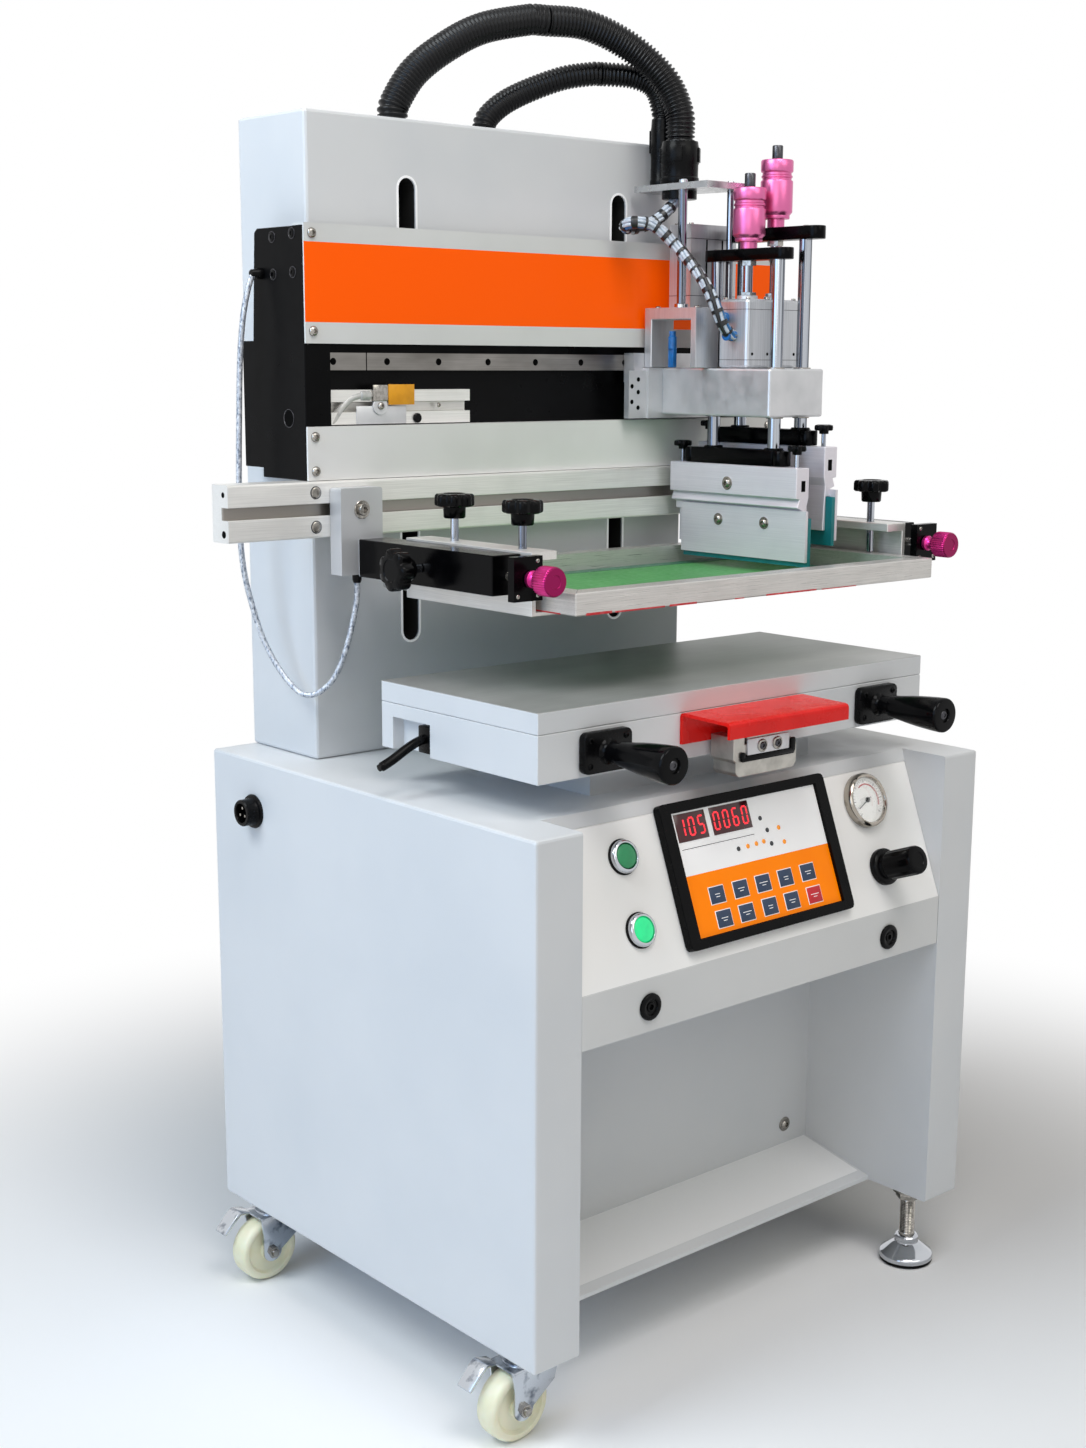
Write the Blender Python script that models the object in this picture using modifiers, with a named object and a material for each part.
"""Cylinder-driven screen printing machine on a steel cabinet with casters.

Metres, +Z up, the operator stands at -Y. The floor is z = 0.
"""
import math

import bmesh
import bpy
from mathutils import Matrix, Vector

# gaps between neighbours
TOUCH = 0.0003
RUN = 0.005

# cabinet
HALF_W = 0.290
FRONT_Y = -0.245
BACK_Y = 0.2485
BASE_Z = 0.0835
DECK_Z = 0.5525
DECK_T = 0.012
LEG_T = 0.051
KNEE_Y = -0.080
DECK_FRONT_Y = -0.1907
FOLD_Z = DECK_Z - 0.1425
LIP_Z = FOLD_Z - 0.0483
SHELF_FRONT_Y = -0.1694
SHELF_LIP = 0.004
SHELF_BACK_Z = 0.106

# casters on the left, feet on the right
CASTER_X = 0.032 - HALF_W
CASTER_YS = (-0.196, 0.204)
CASTER_TRAIL = 0.016
WHEEL_R = 0.0325
WHEEL_W = 0.024
AXLE_R = 0.0035
FOOT_X = HALF_W - 0.028
FOOT_YS = (-0.205, 0.205)
FOOT_R = 0.028

# table
TABLE_HALF_W = 0.2507
TABLE_FRONT_Y = -0.2008
TABLE_BACK_Y = 0.0177
PEDESTAL_H = 0.033
APRON_BOTTOM_Z = DECK_Z + PEDESTAL_H
TABLE_TOP_Z = APRON_BOTTOM_Z + 0.0613
TABLE_PLATE_T = 0.0188
PEDESTAL_HALF_W = 0.145
PEDESTAL_FRONT_Y = -0.149
PEDESTAL_BACK_Y = 0.010
HANDLE_X = TABLE_HALF_W - 0.0727
HANDLE_Z = TABLE_TOP_Z - 0.0398
HANDLE_L = 0.088

# screen, its arms and clamps, and the beam that carries them
SCREEN_MID_X = 0.060
SCREEN_HALF_W = 0.242
SCREEN_Y = (-0.170, 0.108)
SCREEN_Z = (TABLE_TOP_Z + 0.0712, TABLE_TOP_Z + 0.0912)
SCREEN_BAR = 0.020
MESH_T = 0.001
ARM_OUT = SCREEN_HALF_W + 0.0435
ARM_W = 0.032
ARM_Z = (SCREEN_Z[0] + 0.015, SCREEN_Z[0] + 0.050)
ARM_FRONT_Y = -0.111
CLAMP_HALF = (ARM_OUT + 0.0195, ARM_OUT - 0.0275)
CLAMP_Z = (ARM_Z[0] + 0.002, ARM_Z[1] + 0.0475)
BEAM_LEFT = SCREEN_MID_X - CLAMP_HALF[0] - 0.109
BEAM_RIGHT = SCREEN_MID_X + CLAMP_HALF[0] + 0.010
BEAM_FRONT_Y = 0.103
BEAM_BACK_Y = 0.1295
BEAM_Z = (ARM_Z[1] + 0.0015, ARM_Z[1] + 0.0535)
BEAM_SLOT_Z = (BEAM_Z[0] + 0.0205, BEAM_Z[0] + 0.0315)

# print head
HEAD_LEFT = BEAM_LEFT + 0.0895
HEAD_RIGHT = BEAM_RIGHT - 0.0145
HEAD_BOTTOM_Z = BEAM_Z[1] + 0.0005
HEAD_TOP_Z = HEAD_BOTTOM_Z + 0.2305
HEAD_FRONT_Y = 0.108
COVER_T = 0.002
PLATE_T = 0.010
CAVITY_Z = (HEAD_BOTTOM_Z + 0.049, HEAD_BOTTOM_Z + 0.124)
RAIL_Z = (CAVITY_Z[1] - 0.024, CAVITY_Z[1] - 0.008)
RAIL_Y = 0.1182

# column behind the table
COL_HALF_W = -HEAD_LEFT - PLATE_T - 0.011
COL_FRONT_Y = 0.135
COL_BACK_Y = 0.2475
COL_TOP_Z = HEAD_TOP_Z + 0.1025
SLOT_X = (-0.1285, 0.146)
SLOT_W = 0.020
SLOT_BOTTOM_Z = HEAD_BOTTOM_Z - 0.163
SLOT_TOP_Z = HEAD_TOP_Z + 0.0485
SLOT_DEPTH = 0.045
BACK_PLATE_Y = COL_FRONT_Y - RUN - 0.0035

# print carriage
SQUEEGEE_X = SCREEN_MID_X + SCREEN_HALF_W - 0.105
FLOOD_X = SQUEEGEE_X + 0.0395
BLOCK_X = (SQUEEGEE_X - 0.0247, FLOOD_X + 0.0162)
BLOCK_Y = (-0.060, 0.0935)
BLOCK_Z = (CAVITY_Z[0] + 0.006, CAVITY_Z[0] + 0.054)
CARRIAGE_BACK_Y = HEAD_FRONT_Y - RUN - 0.0005
ROD_YS = (-0.045, 0.040)
ROD_R = 0.0065
PISTON_R = 0.0050
SQUEEGEE_BAR_Z = (BLOCK_Z[1] + 0.107, BLOCK_Z[1] + 0.1185)
FLOOD_BAR_Z = (BLOCK_Z[1] + 0.128, BLOCK_Z[1] + 0.141)
FLOOD_RISE = 0.020
LOW_BAR_Z = (BLOCK_Z[0] - 0.049, BLOCK_Z[0] - 0.033)
HOLDER_Z = (LOW_BAR_Z[0] - 0.031, LOW_BAR_Z[0] - 0.004)
BLADE_Y = (-0.0865, 0.0935)
BLADE_BOTTOM_Z = SCREEN_Z[0] + 0.0105
BLADE_T = 0.0045
JAW_IN = 0.0005
JAW_T = 0.0035
JAW_UP = 0.005

# sloped operator panel: unit vectors up the slope and out of it
SLOPE_RUN = DECK_FRONT_Y - FRONT_Y
SLOPE_RISE = DECK_Z - FOLD_Z
SLOPE_L = math.hypot(SLOPE_RUN, SLOPE_RISE)
SLOPE_TILT = math.atan2(SLOPE_RISE, SLOPE_RUN)

COLOURS = {
    "white_coat": ((0.78, 0.79, 0.80), 0.0, 0.45),
    "orange_cover": ((0.80, 0.80, 0.78), 0.0, 0.4),
    "black_anodised": ((0.02, 0.02, 0.022), 0.4, 0.4),
    "brushed_aluminium": ((0.66, 0.65, 0.63), 1.0, 0.35),
    "table_grey": ((0.22, 0.22, 0.22), 0.8, 0.35),
    "red_paint": ((0.72, 0.01, 0.01), 0.0, 0.25),
    "black_plastic": ((0.015, 0.015, 0.016), 0.0, 0.3),
    "magenta_anodised": ((0.55, 0.03, 0.22), 0.9, 0.3),
    "chrome": ((0.75, 0.75, 0.76), 1.0, 0.12),
    "zinc": ((0.6, 0.6, 0.62), 1.0, 0.3),
    "cream_nylon": ((0.80, 0.76, 0.60), 0.0, 0.45),
    "green_mesh": ((0.08, 0.32, 0.10), 0.0, 0.6),
    "teal_rubber": ((0.0, 0.20, 0.22), 0.0, 0.5),
    "green_plastic": ((0.0, 0.35, 0.12), 0.0, 0.3),
    "display_black": ((0.02, 0.02, 0.02), 0.0, 0.3),
    "hose_black": ((0.02, 0.02, 0.02), 0.0, 0.5),
    "braid_silver": ((0.55, 0.57, 0.60), 0.4, 0.4),
    "wrap_clear": ((0.55, 0.60, 0.65), 0.0, 0.4),
}

for old in list(bpy.data.objects):
    bpy.data.objects.remove(old, do_unlink=True)

scene = bpy.context.scene
cutters = bpy.data.collections.new("cutters")
scene.collection.children.link(cutters)


def material(slot):
    """One Principled material for each kind of finish."""
    found = bpy.data.materials.get(slot)
    if found:
        return found
    colour, metallic, roughness = COLOURS[slot]
    made = bpy.data.materials.new(slot)
    made.use_nodes = True
    shader = made.node_tree.nodes["Principled BSDF"]
    shader.inputs["Base Color"].default_value = (*colour, 1.0)
    shader.inputs["Metallic"].default_value = metallic
    shader.inputs["Roughness"].default_value = roughness
    return made


def add(name, mesh, slot, origin=(0, 0, 0)):
    """Link a mesh whose points are given in the machine's frame."""
    mesh.transform(Matrix.Translation(-Vector(origin)))
    obj = bpy.data.objects.new(name, mesh)
    obj.location = origin
    if slot:
        mesh.materials.clear()
        mesh.materials.append(material(slot))
    scene.collection.objects.link(obj)
    return obj


def box_mesh(x, y, z):
    """Box between two values on each axis."""
    bm = bmesh.new()
    size = Matrix.Diagonal((x[1] - x[0], y[1] - y[0], z[1] - z[0], 1))
    middle = Vector(((x[0] + x[1]) / 2, (y[0] + y[1]) / 2, (z[0] + z[1]) / 2))
    bmesh.ops.create_cube(bm, size=1, matrix=Matrix.Translation(middle) @ size)
    mesh = bpy.data.meshes.new("box")
    bm.to_mesh(mesh)
    bm.free()
    return mesh


AXIS_FRAMES = {
    "x": Matrix(((0, 0, 1), (1, 0, 0), (0, 1, 0))),
    "y": Matrix(((1, 0, 0), (0, 0, -1), (0, 1, 0))),
    "z": Matrix.Identity(3),
}


def prism_mesh(axis, outlines, span):
    """Flat outline pushed along an axis; later outlines are holes.

    The outline is (y, z) along x, (x, z) along y and (x, y) along z.
    """
    curve = bpy.data.curves.new("outline", "CURVE")
    curve.dimensions = "2D"
    curve.fill_mode = "BOTH"
    curve.extrude = abs(span[1] - span[0]) / 2
    for outline in outlines:
        spline = curve.splines.new("POLY")
        spline.points.add(len(outline) - 1)
        for point, (a, b) in zip(spline.points, outline):
            point.co = (a, b, 0, 1)
        spline.use_cyclic_u = True
    temporary = bpy.data.objects.new("outline", curve)
    mesh = bpy.data.meshes.new_from_object(temporary)
    bpy.data.objects.remove(temporary)
    bm = bmesh.new()
    bm.from_mesh(mesh)
    bmesh.ops.remove_doubles(bm, verts=bm.verts, dist=0.00001)
    bmesh.ops.recalc_face_normals(bm, faces=bm.faces)
    bm.to_mesh(mesh)
    bm.free()
    turn = AXIS_FRAMES[axis].to_4x4()
    middle = [0.0, 0.0, 0.0]
    middle["xyz".index(axis)] = (span[0] + span[1]) / 2
    mesh.transform(Matrix.Translation(middle) @ turn)
    return mesh


def rod_mesh(axis, centre, radius, span, sides=24):
    """Round bar along an axis; centre holds the two other coordinates."""
    bm = bmesh.new()
    length = abs(span[1] - span[0])
    bmesh.ops.create_cone(bm, cap_ends=True, segments=sides,
                          radius1=radius, radius2=radius, depth=length)
    place = [0.0, 0.0, 0.0]
    index = "xyz".index(axis)
    place[index] = (span[0] + span[1]) / 2
    others = [i for i in range(3) if i != index]
    place[others[0]], place[others[1]] = centre
    turn = AXIS_FRAMES[axis].to_4x4()
    mesh = bpy.data.meshes.new("rod")
    bm.to_mesh(mesh)
    bm.free()
    mesh.transform(Matrix.Translation(place) @ turn)
    return mesh


def turned_mesh(profile, sides=16):
    """Turned solid along +Z as a mesh, from (radius, height) points that start and end on the axis."""
    bm = bmesh.new()
    verts = [bm.verts.new((radius, 0, height)) for radius, height in profile]
    edges = [bm.edges.new(pair) for pair in zip(verts, verts[1:])]
    bmesh.ops.spin(bm, geom=verts + edges, cent=(0, 0, 0), axis=(0, 0, 1), angle=2 * math.pi,
                   steps=sides, use_merge=True)
    bmesh.ops.remove_doubles(bm, verts=bm.verts, dist=0.00001)
    bmesh.ops.recalc_face_normals(bm, faces=bm.faces)
    mesh = bpy.data.meshes.new("turned")
    bm.to_mesh(mesh)
    bm.free()
    return mesh


def lathe(name, profile, slot, origin, direction=(0, 0, 1), steps=20):
    """Turned part: profile of (radius, height) along a direction from origin.

    A profile that starts off the axis is closed on itself, for a bored part.
    """
    mesh = bpy.data.meshes.new(name)
    points = [(radius, 0, height) for radius, height in profile]
    edges = [(i, i + 1) for i in range(len(points) - 1)]
    if profile[0][0] > 0:
        edges.append((len(points) - 1, 0))
    mesh.from_pydata(points, edges, [])
    obj = bpy.data.objects.new(name, mesh)
    mesh.materials.append(material(slot))
    scene.collection.objects.link(obj)
    screw = obj.modifiers.new("turn", "SCREW")
    screw.axis = "Z"
    screw.steps = screw.render_steps = steps
    screw.use_merge_vertices = True
    screw.merge_threshold = 0.00005
    screw.use_normal_calculate = True
    obj.location = origin
    obj.rotation_euler = Vector(direction).to_track_quat("Z", "Y").to_euler()
    return obj


def bevel(obj, width, segments=2):
    """Round the sharp edges."""
    made = obj.modifiers.new("bevel", "BEVEL")
    made.width = width
    made.segments = segments
    made.limit_method = "ANGLE"
    made.angle_limit = math.radians(40)
    return obj


def combine(obj, mesh, operation="DIFFERENCE"):
    """Cut a mesh out of an object, or join it on with UNION."""
    tool = bpy.data.objects.new(obj.name + "_tool", mesh)
    cutters.objects.link(tool)
    tool.hide_render = True
    tool.display_type = "WIRE"
    made = obj.modifiers.new(operation.lower(), "BOOLEAN")
    made.solver = "EXACT"
    made.operation = operation
    made.object = tool
    return obj


def stadium(centre, width, low, high, steps=8):
    """Upright slot outline with round ends."""
    radius = width / 2
    points = []
    for end, start in ((high - radius, 0.0), (low + radius, math.pi)):
        for i in range(steps + 1):
            turn = start + math.pi * i / steps
            points.append((centre + radius * math.cos(turn), end + radius * math.sin(turn)))
    return points


def rounded(outline, radii, steps=3):
    """Closed outline with rounded corners; radii is one for all or one for each."""
    points = []
    for i, corner in enumerate(outline):
        radius = radii[i] if isinstance(radii, list) else radii
        if radius == 0:
            points.append(corner)
            continue
        here = Vector(corner)
        first = here + (Vector(outline[i - 1]) - here).normalized() * radius
        last = here + (Vector(outline[(i + 1) % len(outline)]) - here).normalized() * radius
        for step in range(steps + 1):
            part = step / steps
            points.append(tuple(first * (1 - part) ** 2 + here * 2 * part * (1 - part) + last * part ** 2))
    return points


def rectangle(a, b):
    """Outline between two values on each of two axes."""
    return [(a[0], b[0]), (a[1], b[0]), (a[1], b[1]), (a[0], b[1])]


def star_outline(radius, lobes=7, per_lobe=4, depth=0.15):
    """Lobed grip of a star knob."""
    points = []
    for i in range(lobes * per_lobe):
        turn = 2 * math.pi * i / (lobes * per_lobe)
        wave = radius * (1 - depth * (0.5 - 0.5 * math.cos(lobes * turn)))
        points.append((wave * math.cos(turn), wave * math.sin(turn)))
    return points


def on_panel(across, down, out=0.0):
    """Point on the sloped panel: across it, down from its top edge, out of it."""
    along = Vector((0, -math.cos(SLOPE_TILT), -math.sin(SLOPE_TILT)))
    normal = Vector((0, -math.sin(SLOPE_TILT), math.cos(SLOPE_TILT)))
    return Vector((across, DECK_FRONT_Y, DECK_Z)) + along * down + normal * out


PANEL_NORMAL = (0, -math.sin(SLOPE_TILT), math.cos(SLOPE_TILT))


# cabinet: one welded housing with the knee space cut out below the panel
cabinet = add("cabinet_body", box_mesh((-HALF_W, HALF_W), (FRONT_Y, BACK_Y), (BASE_Z, DECK_Z)),
              "white_coat")
bevel(cabinet, 0.0025)
deck_lip_y = DECK_FRONT_Y - DECK_T * SLOPE_RUN / SLOPE_RISE
knee = [
    (FRONT_Y - 0.05, BASE_Z - 0.05), (KNEE_Y, BASE_Z - 0.05), (KNEE_Y, DECK_Z - DECK_T),
    (deck_lip_y, DECK_Z - DECK_T), (DECK_FRONT_Y, DECK_Z), (DECK_FRONT_Y, DECK_Z + 0.05),
    (FRONT_Y - 0.05, DECK_Z + 0.05),
]
inner_w = HALF_W - LEG_T
combine(cabinet, prism_mesh("x", [knee], (-inner_w, inner_w)))
shelf = [
    (SHELF_FRONT_Y, BASE_Z), (KNEE_Y + 0.001, BASE_Z), (KNEE_Y + 0.001, SHELF_BACK_Z),
    (SHELF_FRONT_Y, BASE_Z + SHELF_LIP),
]
combine(cabinet, prism_mesh("x", [shelf], (-inner_w - 0.001, inner_w + 0.001)), "UNION")
combine(cabinet, box_mesh((-PEDESTAL_HALF_W, PEDESTAL_HALF_W), (PEDESTAL_FRONT_Y, PEDESTAL_BACK_Y),
                          (DECK_Z - 0.001, APRON_BOTTOM_Z - TOUCH)), "UNION")

# sloped operator panel with its lip, closed behind
console_top_y = deck_lip_y - TOUCH * SLOPE_RUN / SLOPE_RISE
console_profile = [
    (FRONT_Y, LIP_Z), (KNEE_Y - TOUCH, LIP_Z), (KNEE_Y - TOUCH, DECK_Z - DECK_T - TOUCH),
    (console_top_y, DECK_Z - DECK_T - TOUCH), (FRONT_Y, FOLD_Z),
]
console = add("console_panel", prism_mesh("x", [console_profile], (TOUCH - inner_w, inner_w - TOUCH)),
              "white_coat")
bevel(console, 0.0012)
BUTTON_X = -0.159
BUTTON_DOWN = {"start_button": 0.045, "power_button": 0.110}
BUTTON_R = 0.011
BUTTON_DEPTH = 0.009
for button, down in BUTTON_DOWN.items():
    hole = rod_mesh("z", (0, 0), BUTTON_R + TOUCH, (-BUTTON_DEPTH, 0.02))
    turn = Vector(PANEL_NORMAL).to_track_quat("Z", "Y").to_matrix().to_4x4()
    hole.transform(Matrix.Translation(on_panel(BUTTON_X, down)) @ turn)
    combine(console, hole)
    lathe(button, [(0, -0.004), (BUTTON_R, -0.004), (BUTTON_R, 0.0055), (BUTTON_R - 0.001, 0.0065),
                   (0, 0.0068)], "green_plastic", on_panel(BUTTON_X, down), PANEL_NORMAL)

# display unit: raised frame with a shallow recess for its face
DISPLAY_X = (-0.112, 0.106)
DISPLAY_DOWN = (0.008, 0.140)
DISPLAY_T = 0.009
FACE_DEPTH = 0.0035
FACE_IN = (0.013, 0.009)
display_w = DISPLAY_X[1] - DISPLAY_X[0]
display_h = DISPLAY_DOWN[1] - DISPLAY_DOWN[0]
display_outline = rounded(rectangle((-display_w / 2, display_w / 2), (-display_h / 2, display_h / 2)), 0.006)
display = add("display_unit", prism_mesh("z", [display_outline], (TOUCH, DISPLAY_T)), "display_black")
display.location = on_panel(sum(DISPLAY_X) / 2, sum(DISPLAY_DOWN) / 2)
display.rotation_euler = (SLOPE_TILT, 0, 0)
bevel(display, 0.0015)
recess = combine(display, box_mesh((FACE_IN[0] - display_w / 2, display_w / 2 - FACE_IN[0]),
                                   (FACE_IN[1] - display_h / 2, display_h / 2 - FACE_IN[1]),
                                   (DISPLAY_T - FACE_DEPTH, 0.02)))
recess.modifiers["difference"].object.parent = display

GAUGE_AT = (0.162, 0.043)
REGULATOR_AT = (0.1664, 0.110)
lathe("vacuum_gauge", [(0, TOUCH), (0.0255, TOUCH), (0.0265, 0.0020), (0.0265, 0.0085),
                       (0.0250, 0.0100), (0.0230, 0.0100), (0.0225, 0.0085), (0, 0.0085)],
      "chrome", on_panel(*GAUGE_AT), PANEL_NORMAL, 28)
REGULATOR_R = 0.0180
REGULATOR_KNOB_R = 0.0142
REGULATOR_KNOB_OUT = 0.0120
lathe("regulator_body", [(0, TOUCH), (REGULATOR_R - 0.0005, TOUCH), (REGULATOR_R, 0.0010),
                         (REGULATOR_R, 0.0065), (REGULATOR_R - 0.0015, 0.0080),
                         (REGULATOR_KNOB_R - 0.0020, 0.0085),
                         (REGULATOR_KNOB_R - 0.0020, REGULATOR_KNOB_OUT - TOUCH),
                         (0, REGULATOR_KNOB_OUT - TOUCH)],
      "black_plastic", on_panel(*REGULATOR_AT), PANEL_NORMAL)
lathe("regulator_knob", [(0, 0.0), (REGULATOR_KNOB_R - 0.0010, 0.0), (REGULATOR_KNOB_R, 0.0010),
                         (REGULATOR_KNOB_R, 0.0330), (REGULATOR_KNOB_R - 0.0012, 0.0350),
                         (0.0078, 0.0350), (0.0072, 0.0343), (0, 0.0343)],
      "black_plastic", on_panel(*REGULATOR_AT, REGULATOR_KNOB_OUT), PANEL_NORMAL)

# column with two long slots for the head's brackets
column = add("column_housing", box_mesh((-COL_HALF_W, COL_HALF_W), (COL_FRONT_Y, COL_BACK_Y),
                                        (DECK_Z + TOUCH, COL_TOP_Z)), "white_coat")
bevel(column, 0.003)
for slot_x in SLOT_X:
    slot = stadium(slot_x, SLOT_W, SLOT_BOTTOM_Z, SLOT_TOP_Z)
    combine(column, prism_mesh("y", [slot], (COL_FRONT_Y - 0.02, COL_FRONT_Y + SLOT_DEPTH)))

# casters and feet
for side, caster_y in zip(("front", "rear"), CASTER_YS):
    wheel_x = CASTER_X - CASTER_TRAIL
    crown_z = 2 * WHEEL_R + 0.003
    half = WHEEL_W / 2 + 0.0025
    cheek = [(wheel_x + 0.0105 * math.cos(turn), WHEEL_R + 0.0105 * math.sin(turn))
             for turn in (math.pi + math.pi * step / 8 for step in range(8))]
    cheek += [(CASTER_X + 0.0195, crown_z - 0.018), (CASTER_X + 0.022, crown_z - 0.008),
              (CASTER_X + 0.022, crown_z + 0.003), (wheel_x - 0.0125, crown_z + 0.003),
              (wheel_x - 0.0125, crown_z - 0.006), (wheel_x - 0.0105, crown_z - 0.016)]
    fork = add(side + "_caster_fork",
               prism_mesh("y", [cheek], (caster_y - half - 0.003, caster_y + half + 0.003)),
               "zinc", (CASTER_X, caster_y, crown_z))
    combine(fork, box_mesh((wheel_x - 0.05, wheel_x + WHEEL_R + 0.003), (caster_y - half, caster_y + half),
                           (-0.01, crown_z)))
    combine(fork, rod_mesh("z", (CASTER_X, caster_y), 0.020,
                           (crown_z + 0.001, BASE_Z - TOUCH)), "UNION")
    combine(fork, rod_mesh("y", (wheel_x, WHEEL_R), AXLE_R,
                           (caster_y - half - 0.001, caster_y + half + 0.001), 24), "UNION")
    pedal = [(wheel_x - 0.010, crown_z), (wheel_x - 0.010, crown_z + 0.0025), (wheel_x - 0.023, crown_z + 0.0060),
             (wheel_x - 0.030, crown_z + 0.0015), (wheel_x - 0.043, crown_z - 0.0125),
             (wheel_x - 0.041, crown_z - 0.0150), (wheel_x - 0.028, crown_z - 0.0020),
             (wheel_x - 0.0225, crown_z + 0.0025)]
    combine(fork, prism_mesh("y", [pedal], (caster_y + half - 0.009, caster_y + half + 0.0095)), "UNION")
    lathe(side + "_caster_wheel",
          [(AXLE_R + TOUCH, -WHEEL_W / 2), (0.009, -WHEEL_W / 2), (0.010, 0.003 - WHEEL_W / 2),
           (0.023, 0.003 - WHEEL_W / 2), (0.024, -WHEEL_W / 2), (WHEEL_R - 0.004, -WHEEL_W / 2),
           (WHEEL_R, 0.004 - WHEEL_W / 2), (WHEEL_R, WHEEL_W / 2 - 0.004),
           (WHEEL_R - 0.004, WHEEL_W / 2), (0.024, WHEEL_W / 2), (0.023, WHEEL_W / 2 - 0.003),
           (0.010, WHEEL_W / 2 - 0.003), (0.009, WHEEL_W / 2), (AXLE_R + TOUCH, WHEEL_W / 2)],
          "cream_nylon", (wheel_x, caster_y, WHEEL_R), (0, -1, 0), 20)
for side, foot_y in zip(("front", "rear"), FOOT_YS):
    lathe(side + "_levelling_foot",
          [(0, 0), (FOOT_R, 0), (FOOT_R, 0.0075), (FOOT_R - 0.003, 0.0095), (0.0125, 0.020),
           (0.0095, 0.0215), (0.0095, 0.027), (0.0055, 0.0285), (0.0055, BASE_Z - 0.017),
           (0.0105, BASE_Z - 0.017), (0.0105, BASE_Z - 0.0095), (0.0055, BASE_Z - 0.0095),
           (0.0055, BASE_Z - 0.0055), (0.015, BASE_Z - 0.0055), (0.015, BASE_Z - TOUCH),
           (0, BASE_Z - TOUCH)], "chrome", (FOOT_X, foot_y, 0))

# table
apron_top = TABLE_TOP_Z - TABLE_PLATE_T - TOUCH
plate = add("table_plate", box_mesh((-TABLE_HALF_W, TABLE_HALF_W), (TABLE_FRONT_Y, TABLE_BACK_Y),
                                    (TABLE_TOP_Z - TABLE_PLATE_T, TABLE_TOP_Z)), "table_grey")
bevel(plate, 0.0008)
apron = add("table_apron", box_mesh((-TABLE_HALF_W, TABLE_HALF_W), (TABLE_FRONT_Y, TABLE_BACK_Y),
                                    (APRON_BOTTOM_Z, apron_top)), "white_coat")
bevel(apron, 0.0008)
NOTCH_Y = (-0.0545, 0.0005)
NOTCH_TOP_Z = APRON_BOTTOM_Z + 0.030
NOTCH_IN = 0.012
combine(apron, box_mesh((-TABLE_HALF_W - 0.01, NOTCH_IN - TABLE_HALF_W), NOTCH_Y,
                        (APRON_BOTTOM_Z - 0.01, NOTCH_TOP_Z)))
FLANGE_T = 0.008
GRIP_R = 0.0165
grip_l = HANDLE_L - FLANGE_T + 0.001
grip_profile = [(0, 0), (0.0088, 0), (0.0088, 0.017), (0.0108, 0.0185), (0.0114, 0.024),
                (GRIP_R - 0.0028, 0.042), (GRIP_R - 0.0010, 0.060), (GRIP_R, grip_l - 0.002),
                (GRIP_R - 0.0010, grip_l), (0.0066, grip_l), (0.0060, grip_l - 0.002), (0, grip_l - 0.002)]
for side, handle_x in (("left", -HANDLE_X), ("right", HANDLE_X)):
    face_y = TABLE_FRONT_Y - TOUCH
    flange = rounded(rectangle((handle_x - 0.0275, handle_x + 0.0275), (HANDLE_Z - 0.018, HANDLE_Z + 0.018)),
                     0.005)
    handle = add(side + "_table_handle", prism_mesh("y", [flange], (face_y - FLANGE_T, face_y)),
                 "black_plastic")
    bevel(handle, 0.0012, 1)
    grip = turned_mesh(grip_profile)
    seat = Vector((handle_x, face_y - FLANGE_T + 0.001, HANDLE_Z))
    grip.transform(Matrix.Translation(seat) @ AXIS_FRAMES["y"].to_4x4())
    combine(handle, grip, "UNION")
GUARD_X = (-0.0855, 0.0705)
GUARD_T = 0.003
GUARD_Z = TABLE_TOP_Z - 0.0183
GUARD_BACK_Z = GUARD_Z - 0.0285
GUARD_FRONT_Y = TABLE_FRONT_Y - 0.0612
guard_back = TABLE_FRONT_Y - TOUCH
guard_profile = [
    (guard_back, GUARD_BACK_Z), (guard_back, GUARD_Z), (GUARD_FRONT_Y, GUARD_Z - 0.0015),
    (GUARD_FRONT_Y, GUARD_Z - 0.016), (GUARD_FRONT_Y + GUARD_T, GUARD_Z - 0.016),
    (GUARD_FRONT_Y + GUARD_T, GUARD_Z - 0.0015 - GUARD_T), (guard_back - GUARD_T, GUARD_Z - GUARD_T),
    (guard_back - GUARD_T, GUARD_BACK_Z),
]
bend = 0.0045
guard_profile = rounded(guard_profile, [0, bend, bend, 0, 0, bend - GUARD_T, bend - GUARD_T, 0])
add("guard_bracket", prism_mesh("x", [guard_profile], GUARD_X), "red_paint")
latch_y = guard_back - GUARD_T - TOUCH
latch_top = GUARD_Z - 0.0225
latch_outline = [
    (-0.050, latch_top), (-0.050, latch_top - 0.0210), (-0.0465, latch_top - 0.0235),
    (-0.0465, latch_top - 0.0330), (-0.0425, latch_top - 0.0370), (0.0290, latch_top - 0.0370),
    (0.0330, latch_top - 0.0320), (0.0330, latch_top - 0.0150), (0.0285, latch_top - 0.0095),
    (0.0240, latch_top - 0.0075), (0.0120, latch_top - 0.0075), (0.0120, latch_top),
    (-0.0300, latch_top), (-0.0300, latch_top - 0.0075), (-0.0360, latch_top - 0.0075),
    (-0.0360, latch_top),
]
latch = add("latch_block", prism_mesh("y", [latch_outline], (latch_y - 0.0290, latch_y)), "zinc")
bevel(latch, 0.0008, 1)
LEVER_Y = -0.0458
lever_start = Vector((NOTCH_IN - TABLE_HALF_W - TOUCH, LEVER_Y, APRON_BOTTOM_Z + 0.0165))
lever_turn = Vector((-1, 0, -0.33)).normalized()
lathe("table_lock_lever", [(0, 0.0006), (0.0085, 0.0006), (0.0085, 0.013), (0.0042, 0.014),
                           (0.0042, 0.062), (0.0030, 0.066), (0, 0.067)],
      "black_plastic", lever_start + Vector((-0.003, 0, 0)), lever_turn)

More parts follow.
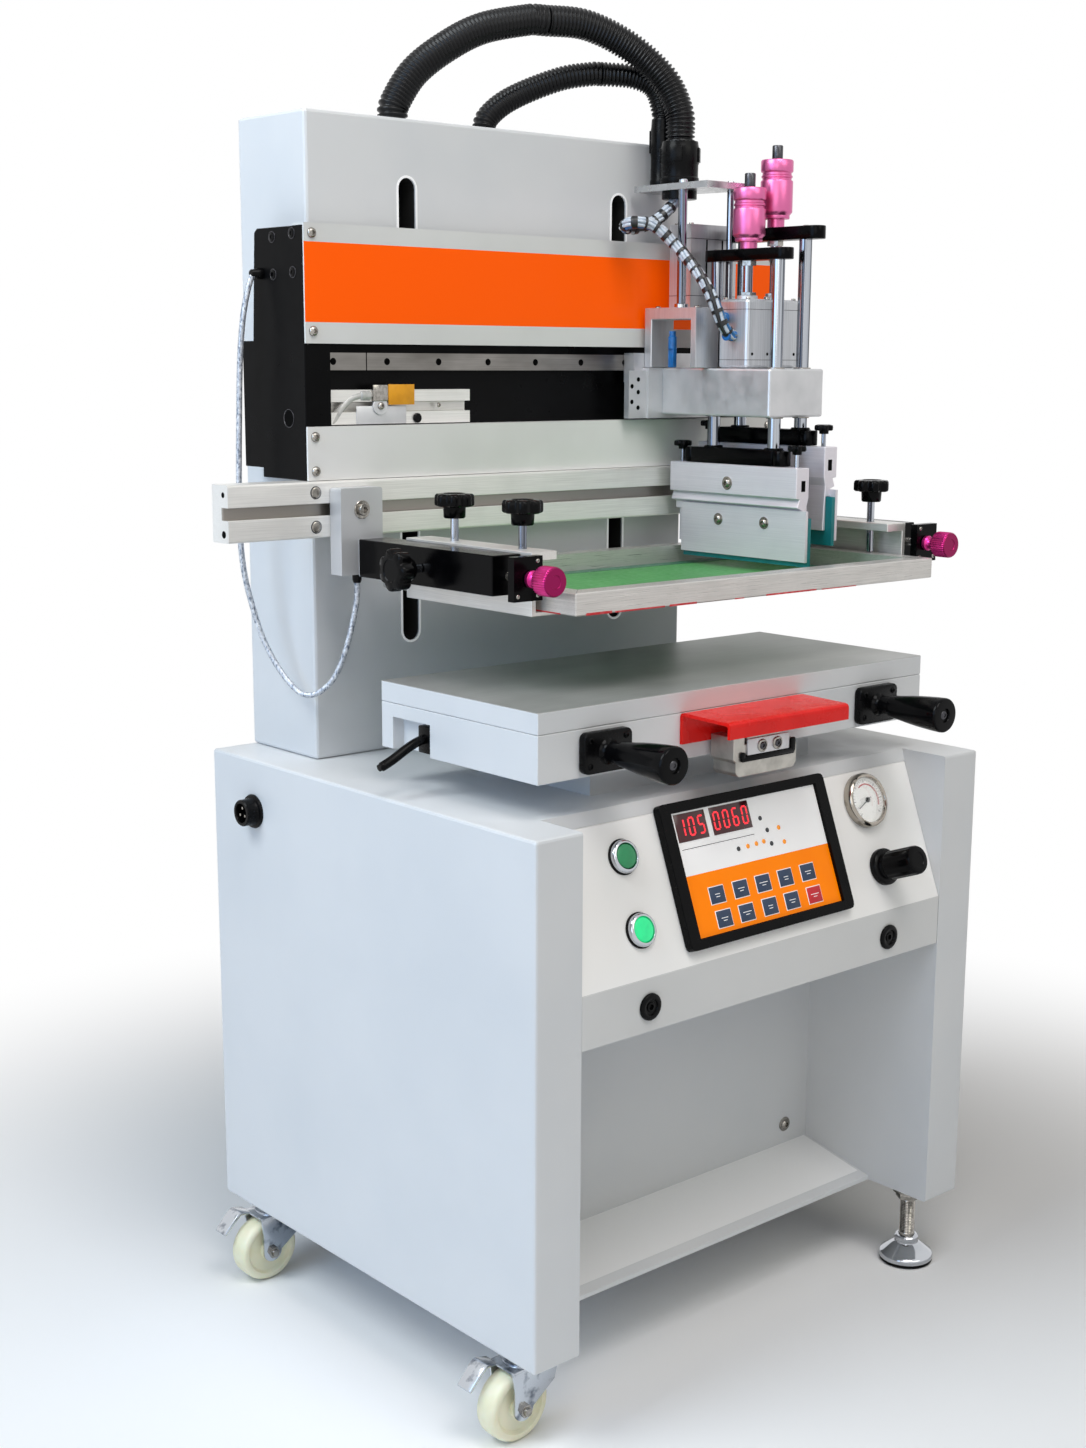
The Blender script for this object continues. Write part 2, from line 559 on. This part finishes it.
# print head: end plates, covers, back plate with its rail
plate_front = HEAD_FRONT_Y + COVER_T + TOUCH
plate_top = HEAD_TOP_Z - COVER_T - TOUCH
left_outline = [
    (plate_front, HEAD_BOTTOM_Z), (0.184, HEAD_BOTTOM_Z), (0.184, HEAD_BOTTOM_Z + 0.009),
    (0.215, HEAD_BOTTOM_Z + 0.009), (0.215, CAVITY_Z[1] + 0.0024), (0.196, CAVITY_Z[1] + 0.0024),
    (0.190, plate_top - 0.003), (0.186, plate_top), (plate_front, plate_top),
]
right_outline = [
    (plate_front, HEAD_BOTTOM_Z), (0.184, HEAD_BOTTOM_Z), (0.184, plate_top), (plate_front, plate_top),
]
left_plate = add("head_left_end_plate",
                 prism_mesh("x", [left_outline], (HEAD_LEFT, HEAD_LEFT + PLATE_T)), "black_anodised")
right_plate = add("head_right_end_plate",
                  prism_mesh("x", [right_outline], (HEAD_RIGHT - PLATE_T, HEAD_RIGHT)), "black_anodised")
for end_plate in (left_plate, right_plate):
    bevel(end_plate, 0.0006, 1)
combine(left_plate, box_mesh((HEAD_LEFT + PLATE_T - 0.001, HEAD_LEFT + PLATE_T + 0.018),
                             (plate_front, plate_front + 0.003),
                             (CAVITY_Z[0] + TOUCH, CAVITY_Z[1] - TOUCH)), "UNION")
cover_back = BACK_PLATE_Y - TOUCH
upper_profile = [
    (HEAD_FRONT_Y, CAVITY_Z[1]), (HEAD_FRONT_Y + 0.006, CAVITY_Z[1]),
    (HEAD_FRONT_Y + 0.006, CAVITY_Z[1] + COVER_T), (HEAD_FRONT_Y + COVER_T, CAVITY_Z[1] + COVER_T),
    (HEAD_FRONT_Y + COVER_T, HEAD_TOP_Z - COVER_T), (cover_back, HEAD_TOP_Z - COVER_T),
    (cover_back, HEAD_TOP_Z), (HEAD_FRONT_Y, HEAD_TOP_Z),
]
upper = add("upper_cover", prism_mesh("x", [upper_profile], (HEAD_LEFT, HEAD_RIGHT)), "orange_cover")
for x_end in (HEAD_LEFT, HEAD_RIGHT - PLATE_T - TOUCH):
    combine(upper, box_mesh((x_end - TOUCH, x_end + PLATE_T + 2 * TOUCH),
                            (plate_front - TOUCH, HEAD_FRONT_Y + 0.02),
                            (CAVITY_Z[1] - 0.005, CAVITY_Z[1] + 0.006)))
lower_profile = [
    (HEAD_FRONT_Y, HEAD_BOTTOM_Z), (HEAD_FRONT_Y + COVER_T, HEAD_BOTTOM_Z),
    (HEAD_FRONT_Y + COVER_T, CAVITY_Z[0] - COVER_T), (cover_back, CAVITY_Z[0] - COVER_T),
    (cover_back, CAVITY_Z[0]), (HEAD_FRONT_Y, CAVITY_Z[0]),
]
lower = add("lower_cover", prism_mesh("x", [lower_profile], (HEAD_LEFT, HEAD_RIGHT)), "white_coat")
for x_end in (HEAD_LEFT, HEAD_RIGHT - PLATE_T - TOUCH):
    combine(lower, box_mesh((x_end - TOUCH, x_end + PLATE_T + 2 * TOUCH),
                            (plate_front - TOUCH, cover_back + 0.01),
                            (CAVITY_Z[0] - 0.005, CAVITY_Z[0] + 0.006)))
inside_x = (HEAD_LEFT + PLATE_T + TOUCH, HEAD_RIGHT - PLATE_T - TOUCH)
back_plate = add("head_back_plate", box_mesh(inside_x, (BACK_PLATE_Y, BACK_PLATE_Y + 0.003),
                                             (HEAD_BOTTOM_Z, plate_top)), "black_anodised")
combine(back_plate, box_mesh((inside_x[0] + 0.010, inside_x[1] - 0.010),
                             (RAIL_Y, BACK_PLATE_Y + 0.001), RAIL_Z), "UNION")
for slot_x in SLOT_X:
    combine(back_plate, box_mesh((slot_x - SLOT_W / 2 + TOUCH, slot_x + SLOT_W / 2 - TOUCH),
                                 (BACK_PLATE_Y + 0.002, COL_FRONT_Y + SLOT_DEPTH - 0.015),
                                 (CAVITY_Z[0] + 0.019, CAVITY_Z[1] + 0.034)), "UNION")

# support beam with its T-slot
beam_profile = [
    (BEAM_FRONT_Y, BEAM_Z[0]), (BEAM_BACK_Y, BEAM_Z[0]), (BEAM_BACK_Y, BEAM_Z[1]),
    (BEAM_FRONT_Y, BEAM_Z[1]), (BEAM_FRONT_Y, BEAM_SLOT_Z[1]), (BEAM_FRONT_Y + 0.008, BEAM_SLOT_Z[1]),
    (BEAM_FRONT_Y + 0.008, BEAM_SLOT_Z[0]), (BEAM_FRONT_Y, BEAM_SLOT_Z[0]),
]
beam_profile = rounded(beam_profile, [0.0020, 0.0010, 0.0010, 0.0020, 0.0006, 0, 0, 0.0006])
add("support_beam", prism_mesh("x", [beam_profile], (BEAM_LEFT, BEAM_RIGHT)), "brushed_aluminium")

# screen arms, clamp rails and knobs, mirrored about the screen's middle
clamp_y = (BEAM_FRONT_Y - 0.018, BEAM_FRONT_Y - TOUCH)
frame_x = (SCREEN_MID_X - SCREEN_HALF_W, SCREEN_MID_X + SCREEN_HALF_W)
END_PLATE_Y = (-0.140, -0.132)
ADJUST_Z = ARM_Z[0] + 0.0165
RAIL_T = 0.005
RAIL_Y_SPAN = (-0.125, 0.055)
FLANGE_DROP = 0.008
PRESS_YS = {"front": -0.0925, "rear": 0.004}
PRESS_IN = 0.006
PRESS_R = 0.0038
STAR_R = 0.0185
for side, sign in (("left", -1), ("right", 1)):
    def span_x(far, near):
        """Two distances from the screen's middle, as a rising x range."""
        return tuple(sorted((SCREEN_MID_X + sign * far, SCREEN_MID_X + sign * near)))

    arm_in = ARM_OUT - ARM_W
    arm = add(side + "_screen_arm", box_mesh(span_x(ARM_OUT, arm_in), (ARM_FRONT_Y, clamp_y[0] + 0.001),
                                             ARM_Z), "black_anodised")
    bevel(arm, 0.0008, 1)
    clamp_outline = rounded(rectangle(span_x(*CLAMP_HALF), CLAMP_Z), [0, 0, 0.003, 0.003])
    combine(arm, prism_mesh("y", [clamp_outline], clamp_y), "UNION")
    shaft_x = SCREEN_MID_X + sign * (ARM_OUT - 0.018)
    combine(arm, rod_mesh("y", (shaft_x, ADJUST_Z), 0.004, (END_PLATE_Y[1] - 0.001, ARM_FRONT_Y + 0.001)),
            "UNION")
    combine(arm, box_mesh(span_x(ARM_OUT, arm_in), END_PLATE_Y,
                          (ARM_Z[0] - 0.0025, ARM_Z[1] + 0.0008)), "UNION")
    lathe(side + "_adjuster_knob",
          [(0, 0), (0.0075, 0), (0.0080, 0.0010), (0.0080, 0.0045), (0.0058, 0.0070), (0.0058, 0.0110),
           (0.0080, 0.0135), (0.0125, 0.0150), (0.0130, 0.0160), (0.0130, 0.0318), (0.0122, 0.0330),
           (0, 0.0330)], "magenta_anodised",
          (shaft_x, END_PLATE_Y[0] - TOUCH, ADJUST_Z), (0, -1, 0))

    web_out = arm_in - TOUCH
    web_in = web_out - RAIL_T
    floor_in = SCREEN_HALF_W - 0.018
    rail_low = SCREEN_Z[0] - 0.004
    rail_high = ARM_Z[1] + 0.002
    def x_at(distance):
        """Distance from the screen's middle as an x value."""
        return SCREEN_MID_X + sign * distance

    flange_low = rail_high - FLANGE_DROP
    rail_profile = [
        (x_at(web_out), rail_low), (x_at(floor_in), rail_low), (x_at(floor_in), SCREEN_Z[0] - TOUCH),
        (x_at(web_in), SCREEN_Z[0] - TOUCH), (x_at(web_in), flange_low), (x_at(floor_in), flange_low),
        (x_at(floor_in), rail_high), (x_at(web_out), rail_high),
    ]
    rail = add(side + "_clamp_rail", prism_mesh("y", [rail_profile], RAIL_Y_SPAN), "brushed_aluminium")
    bevel(rail, 0.0006, 1)
    press_x = x_at(SCREEN_HALF_W - PRESS_IN)
    for place, press_y in PRESS_YS.items():
        combine(rail, rod_mesh("z", (press_x, press_y), PRESS_R + 2 * TOUCH,
                               (flange_low - 0.01, rail_high + 0.01)))
        knob_z = ARM_Z[1] + 0.0325
        knob_mesh = prism_mesh("z", [star_outline(STAR_R)], (knob_z, knob_z + 0.0125))
        knob_mesh.transform(Matrix.Translation((press_x, press_y, 0)))
        knob = add(f"{side}_{place}_star_knob", knob_mesh, "black_plastic", (press_x, press_y, knob_z))
        combine(knob, rod_mesh("z", (press_x, press_y), 0.0090,
                               (knob_z - 0.010, knob_z + 0.001)), "UNION")
        combine(knob, rod_mesh("z", (press_x, press_y), PRESS_R,
                               (SCREEN_Z[1] + TOUCH, knob_z - 0.009)), "UNION")

side_x = SCREEN_MID_X - ARM_OUT
side_mesh = prism_mesh("x", [star_outline(STAR_R + 0.001)], (side_x - 0.034, side_x - 0.020))
SIDE_KNOB_AT = (-0.010, ARM_Z[0] + 0.016)
side_mesh.transform(Matrix.Translation((0, *SIDE_KNOB_AT)))
side_knob = add("arm_side_knob", side_mesh, "black_plastic", (side_x - 0.027, *SIDE_KNOB_AT))
combine(side_knob, rod_mesh("x", SIDE_KNOB_AT, 0.0095, (side_x - 0.021, side_x - 0.012), 24), "UNION")
combine(side_knob, rod_mesh("x", SIDE_KNOB_AT, 0.0040, (side_x - 0.013, side_x - TOUCH), 20), "UNION")

# screen
screen = add("screen_frame", box_mesh(frame_x, SCREEN_Y, SCREEN_Z), "brushed_aluminium")
bevel(screen, 0.001, 1)
opening_x = (frame_x[0] + SCREEN_BAR, frame_x[1] - SCREEN_BAR)
opening_y = (SCREEN_Y[0] + SCREEN_BAR, SCREEN_Y[1] - SCREEN_BAR)
combine(screen, box_mesh(opening_x, opening_y, (SCREEN_Z[0] - 0.01, SCREEN_Z[1] + 0.01)))
add("screen_mesh", box_mesh((opening_x[0] + TOUCH, opening_x[1] - TOUCH),
                            (opening_y[0] + TOUCH, opening_y[1] - TOUCH),
                            (SCREEN_Z[0] + 0.001, SCREEN_Z[0] + 0.001 + MESH_T)), "green_mesh")

# carriage block with its back plates and the slider on the rail
block = add("carriage_block", box_mesh(BLOCK_X, BLOCK_Y, BLOCK_Z), "brushed_aluminium")
bevel(block, 0.002)
combine(block, box_mesh((BLOCK_X[0] - 0.0458, BLOCK_X[0] - 0.0188), (0.0955, CARRIAGE_BACK_Y),
                        (BLOCK_Z[0] - 0.004, BLOCK_Z[1] - 0.003)), "UNION")
combine(block, box_mesh((BLOCK_X[0] - 0.0203, BLOCK_X[1]), (BLOCK_Y[1] - 0.001, CARRIAGE_BACK_Y),
                        (BLOCK_Z[0] - 0.004, BLOCK_Z[1])), "UNION")
slider_z = (CAVITY_Z[0] + 0.039, CAVITY_Z[1] - RUN - 0.001)
slider_x = (BLOCK_X[0] - 0.0323, BLOCK_X[1] - 0.0177)
combine(block, box_mesh(slider_x, (CARRIAGE_BACK_Y - 0.001, CARRIAGE_BACK_Y + 0.002),
                        (slider_z[0], BLOCK_Z[1] - 0.001)), "UNION")
combine(block, box_mesh(slider_x, (CARRIAGE_BACK_Y + TOUCH, RAIL_Y - TOUCH), slider_z), "UNION")
for rod_x in (SQUEEGEE_X, FLOOD_X):
    for rod_y in ROD_YS:
        combine(block, rod_mesh("z", (rod_x, rod_y), ROD_R + TOUCH,
                                (BLOCK_Z[0] - 0.01, BLOCK_Z[1] + 0.01), 28))

BRACKET_X = (SQUEEGEE_X - 0.042, SQUEEGEE_X - 0.009)
BRACKET_Y = (0.0275, CARRIAGE_BACK_Y)
BRACKET_TOP_Z = BLOCK_Z[1] + 0.061
bracket_base = BLOCK_Z[1] + TOUCH
bracket_profile = [
    (BRACKET_Y[0], bracket_base), (BRACKET_Y[0] + 0.008, bracket_base),
    (BRACKET_Y[0] + 0.008, BRACKET_TOP_Z - 0.012), (BRACKET_Y[1] - 0.010, BRACKET_TOP_Z - 0.012),
    (BRACKET_Y[1] - 0.010, bracket_base), (BRACKET_Y[1], bracket_base),
    (BRACKET_Y[1], BRACKET_TOP_Z), (BRACKET_Y[0], BRACKET_TOP_Z),
]
bracket = add("cylinder_bracket", prism_mesh("x", [bracket_profile], BRACKET_X), "brushed_aluminium")
bevel(bracket, 0.0008, 1)
combine(bracket, box_mesh((SQUEEGEE_X - 0.017, FLOOD_X + 0.0105), (0.0615, 0.0925),
                          (BRACKET_TOP_Z - 0.001, BRACKET_TOP_Z + 0.0845)), "UNION")
CYLINDER_Y = (-0.0225, 0.0175)
CYLINDER_TOP_Z = BRACKET_TOP_Z + 0.008
cylinders = add("lift_cylinders", box_mesh((SQUEEGEE_X - 0.019, FLOOD_X + 0.019), CYLINDER_Y,
                                             (bracket_base, CYLINDER_TOP_Z)),
                "brushed_aluminium")
bevel(cylinders, 0.003)
groove_x = (SQUEEGEE_X + FLOOD_X) / 2
for groove_y in CYLINDER_Y:
    combine(cylinders, box_mesh((groove_x - 0.0012, groove_x + 0.0012), (groove_y - 0.004, groove_y + 0.004),
                                (bracket_base - 0.01, CYLINDER_TOP_Z + 0.01)))
SHAFT_Y = -0.0035
for rod_x in (SQUEEGEE_X, FLOOD_X):
    combine(cylinders, rod_mesh("z", (rod_x, SHAFT_Y), PISTON_R + TOUCH,
                                (BLOCK_Z[1] + 0.011, CYLINDER_TOP_Z + 0.01)))

# hose stand: top plate on two pillars, with the two hose glands
STAND_Z = (BRACKET_TOP_Z + 0.1175, BRACKET_TOP_Z + 0.124)
STAND_X = (SQUEEGEE_X - 0.037, SQUEEGEE_X + 0.0245)
stand_outline = [
    (STAND_X[0], 0.0205), (STAND_X[1], 0.0205), (STAND_X[1], 0.060), (STAND_X[1] - 0.0155, 0.1265),
    (STAND_X[0], 0.1265),
]
stand = add("hose_stand", prism_mesh("z", [stand_outline], STAND_Z), "brushed_aluminium")
combine(stand, rod_mesh("z", (STAND_X[0] + 0.005, 0.0595), 0.0045,
                        (BRACKET_TOP_Z + TOUCH, STAND_Z[0] + 0.001)), "UNION")
combine(stand, rod_mesh("z", (STAND_X[1] - 0.0047, 0.0421), 0.0035,
                        (BLOCK_Z[1] + TOUCH, STAND_Z[0] + 0.001)), "UNION")
MAIN_GLAND = (STAND_X[0] + 0.020, 0.080)
SECOND_GLAND = (STAND_X[0] + 0.027, 0.1125)
MAIN_GLAND_Z = STAND_Z[1] + 0.0425
SECOND_GLAND_Z = STAND_Z[1] + 0.0665
combine(stand, rod_mesh("z", MAIN_GLAND, 0.0185, (STAND_Z[1] - 0.001, MAIN_GLAND_Z), 28), "UNION")
combine(stand, rod_mesh("z", SECOND_GLAND, 0.0120, (STAND_Z[1] - 0.001, SECOND_GLAND_Z)), "UNION")

# squeegee and flood bar, each on a yoke of two rods and two cross bars
BLADES = {
    "squeegee": {"x": SQUEEGEE_X, "bar_z": SQUEEGEE_BAR_Z, "rise": 0.0, "bar_y": (-0.061, 0.0535),
                 "knob_z": SQUEEGEE_BAR_Z[1] + 0.007, "knob_h": 0.0525},
    "flood": {"x": FLOOD_X, "bar_z": FLOOD_BAR_Z, "rise": FLOOD_RISE, "bar_y": (-0.0675, 0.0535),
              "knob_z": FLOOD_BAR_Z[1] + 0.0086, "knob_h": 0.058},
}
for tool, facts in BLADES.items():
    mid = facts["x"]
    rise = facts["rise"]
    low, high = LOW_BAR_Z[0] + rise, LOW_BAR_Z[1] + rise
    yoke = add(tool + "_yoke", box_mesh((mid - 0.010, mid + 0.010), facts["bar_y"], facts["bar_z"]),
               "black_anodised", (mid, 0, facts["bar_z"][0]))
    bevel(yoke, 0.001, 1)
    for rod_y in ROD_YS:
        combine(yoke, rod_mesh("z", (mid, rod_y), ROD_R, (high - 0.001, facts["bar_z"][0] + 0.001), 28),
                "UNION")
    combine(yoke, box_mesh((mid - 0.0095, mid + 0.0095), (-0.0635, 0.0773), (low, high)), "UNION")
    combine(yoke, rod_mesh("z", (mid, SHAFT_Y), PISTON_R,
                           (BLOCK_Z[1] + 0.035, facts["bar_z"][0] + 0.001)), "UNION")
    knob_h = facts["knob_h"]
    stub = facts["bar_z"][1] + TOUCH - facts["knob_z"]
    lathe(tool + "_stroke_knob",
          [(0, stub), (0.0090, stub), (0.0090, 0.0), (0.0140, 0.0015), (0.0150, 0.006), (0.0165, 0.008),
           (0.0165, knob_h - 0.020), (0.0150, knob_h - 0.019), (0.0150, knob_h - 0.013),
           (0.0165, knob_h - 0.012), (0.0165, knob_h - 0.001), (0.0155, knob_h), (0.0055, knob_h),
           (0.0055, knob_h + 0.0135), (0.0045, knob_h + 0.0145), (0, knob_h + 0.0145)],
          "magenta_anodised", (mid, SHAFT_Y, facts["knob_z"]))
    holder_z = (HOLDER_Z[0] + rise, low - TOUCH)
    side = -1 if tool == "squeegee" else 1
    box_low = holder_z[0]
    groove_top = box_low - 0.019
    leg_low = SCREEN_Z[1] + RUN + 0.0005 + rise
    jaw_low = BLADE_BOTTOM_Z + rise + JAW_UP
    blade_back = JAW_IN - TOUCH - BLADE_T
    section = [
        (-0.0085, holder_z[1]), (0.0105, holder_z[1]), (0.0105, box_low), (0.0050, box_low - 0.0005),
        (0.0085, box_low - 0.0090), (JAW_IN + 0.0005, box_low - 0.0115), (JAW_IN + 0.0005, groove_top),
        (blade_back - TOUCH, groove_top), (blade_back - TOUCH, leg_low), (-0.0085, leg_low),
        (-0.0062, box_low - 0.0080), (-0.0085, box_low),
    ]
    section = [(mid + side * out, height) for out, height in section]
    holder = add(tool + "_holder", prism_mesh("y", [section], BLADE_Y), "brushed_aluminium")
    bevel(holder, 0.0006, 1)
    jaw_y = (BLADE_Y[0] - 0.008, BLADE_Y[1] - 0.012)
    jaw_x = tuple(sorted((mid + side * JAW_IN, mid + side * (JAW_IN + JAW_T))))
    combine(holder, box_mesh(jaw_x, jaw_y, (jaw_low, box_low - 0.012)), "UNION")
    blade_x = tuple(sorted((mid + side * (JAW_IN - TOUCH), mid + side * blade_back)))
    add(tool + "_blade", box_mesh(blade_x, jaw_y, (BLADE_BOTTOM_Z + rise, groove_top - TOUCH)), "teal_rubber")


def smooth_path(points, count):
    """Even Catmull-Rom points between the second point and the last but one."""
    line = [Vector(p) for p in points]
    fine = []
    for i in range(1, len(line) - 2):
        a, b, c, d = line[i - 1:i + 3]
        for step in range(24):
            t = step / 24
            fine.append(0.5 * (2 * b + (c - a) * t + (2 * a - 5 * b + 4 * c - d) * t * t
                               + (3 * b - a - 3 * c + d) * t ** 3))
    fine.append(line[-2])
    lengths = [0.0]
    for p, q in zip(fine, fine[1:]):
        lengths.append(lengths[-1] + (q - p).length)
    even = []
    at = 0
    for k in range(count + 1):
        want = lengths[-1] * k / count
        while at < len(lengths) - 2 and lengths[at + 1] < want:
            at += 1
        part = (want - lengths[at]) / (lengths[at + 1] - lengths[at])
        even.append(fine[at].lerp(fine[at + 1], part))
    return even


def tube(name, start, between, end, radius, slot, count=22, resolution=2):
    """Flexible tube; start and end are each a point and its outward direction."""
    stub = radius * 0.5
    first, out = Vector(start[0]), Vector(start[1]).normalized()
    last, back = Vector(end[0]), Vector(end[1]).normalized()
    given = [first, first + out * stub, *between, last + back * stub, last]
    path = [first, *smooth_path(given, count), last]
    curve = bpy.data.curves.new(name, "CURVE")
    curve.dimensions = "3D"
    curve.bevel_depth = radius
    curve.bevel_resolution = resolution
    curve.use_fill_caps = True
    spline = curve.splines.new("POLY")
    spline.points.add(len(path) - 1)
    for point, place in zip(spline.points, path):
        point.co = (*place, 1)
    curve.materials.append(material(slot))
    obj = bpy.data.objects.new(name, curve)
    scene.collection.objects.link(obj)
    return obj


# corrugated hoses: column top to the apex, apex to the gland
MAIN_HOSE_R = 0.0150
SECOND_HOSE_R = 0.0120
UP = Vector((0, 0, 1))
hose_base_z = COL_TOP_Z + TOUCH


def route(origin, offsets):
    """Points given as offsets from one end of a cord."""
    return [Vector(origin) + Vector(offset) for offset in offsets]


main_end = Vector((*MAIN_GLAND, MAIN_GLAND_Z + TOUCH))
second_end = Vector((*SECOND_GLAND, SECOND_GLAND_Z + TOUCH))
main_apex = main_end + Vector((-0.1268, 0.075, 0.1130))
main_way = Vector((0.98, -0.25, 0)).normalized()
second_apex = second_end + Vector((-0.052, 0.0415, 0.0452))
second_way = Vector((0.90, -0.42, 0)).normalized()
main_start = Vector((main_end.x - 0.284, 0.190, hose_base_z))
second_start = Vector((second_end.x - 0.169, 0.200, hose_base_z))
half_gap = TOUCH / 2
tube("main_hose_rear", (main_start, UP),
     route(main_start, [(0.003, 0, 0.0207), (0.0240, -0.004, 0.0513), (0.0584, -0.012, 0.0779),
                        (0.0973, -0.021, 0.0980)]),
     (main_apex - main_way * half_gap, -main_way), MAIN_HOSE_R, "hose_black")
tube("main_hose_front", (main_apex + main_way * half_gap, main_way),
     route(main_end, [(-0.0784, 0.058, 0.1114), (-0.0373, 0.038, 0.0928), (-0.0092, 0.016, 0.0624),
                      (0, 0.0025, 0.0302)]),
     (main_end, UP), MAIN_HOSE_R, "hose_black")
tube("second_hose_rear", (second_start, UP),
     route(second_start, [(0.0045, 0, 0.0177), (0.022, -0.004, 0.0330), (0.048, -0.012, 0.0470),
                          (0.082, -0.028, 0.0610)]),
     (second_apex - second_way * half_gap, -second_way), SECOND_HOSE_R, "hose_black", 16)
tube("second_hose_front", (second_apex + second_way * half_gap, second_way),
     route(second_end, [(-0.022, 0.022, 0.0430), (-0.006, 0.007, 0.0320)]),
     (second_end, UP), SECOND_HOSE_R, "hose_black", 14)

# wrapped wires on the carriage, and the head's silver air tube
BUNDLE_R = 0.0064
DOWN = -UP
LEFT = Vector((-1, 0, 0))
bundle_start = Vector((MAIN_GLAND[0] - 0.0035, MAIN_GLAND[1], STAND_Z[0] - TOUCH))
bundle_end = Vector((SQUEEGEE_X - 0.019 - TOUCH, -0.003, BLOCK_Z[1] + 0.033))
tube("cable_bundle", (bundle_start, DOWN),
     route(bundle_start, [(-0.0045, 0.001, -0.0132), (-0.0250, 0.006, -0.0302), (-0.0480, 0.012, -0.0382),
                          (-0.0660, 0.008, -0.0377), (-0.0670, -0.007, -0.0342), (-0.0500, -0.018, -0.0370)])
     + route(bundle_end, [(-0.0364, 0.051, 0.0912), (-0.0302, 0.033, 0.0721), (-0.0258, 0.017, 0.0522),
                          (-0.0217, 0.007, 0.0326), (-0.0137, 0.001, 0.0101)]),
     (bundle_end, LEFT), BUNDLE_R, "wrap_clear", 32, 1)
clamp_mid_y = (clamp_y[0] + clamp_y[1]) / 2
air_start = Vector((HEAD_LEFT - TOUCH, 0.1787, HEAD_TOP_Z - 0.043))
air_end = Vector((SCREEN_MID_X - CLAMP_HALF[1] - 0.024, clamp_mid_y, CLAMP_Z[0] - TOUCH))
tube("air_tube", (air_start, LEFT),
     route(air_start, [(-0.0112, 0.0008, -0.0055), (-0.0202, 0.0033, -0.0478), (-0.0212, 0.0103, -0.1192),
                       (-0.0212, 0.0143, -0.2496), (-0.0132, 0.0053, -0.3178), (-0.0042, -0.0127, -0.3615)])
     + route(air_end, [(-0.036, 0.0422, -0.1157), (-0.022, 0.0212, -0.1077), (-0.010, 0.0102, -0.0797),
                       (0, 0.0022, -0.0297)]),
     (air_end, DOWN), 0.003, "braid_silver", 30, 1)

# the origin is the middle of the footprint of everything but the cords
CENTRE = Vector(((BEAM_LEFT + BEAM_RIGHT) / 2, (TABLE_FRONT_Y - TOUCH - HANDLE_L + BACK_Y) / 2, 0))
for obj in bpy.data.objects:
    if obj.parent is None:
        obj.location -= CENTRE
bpy.context.view_layer.update()
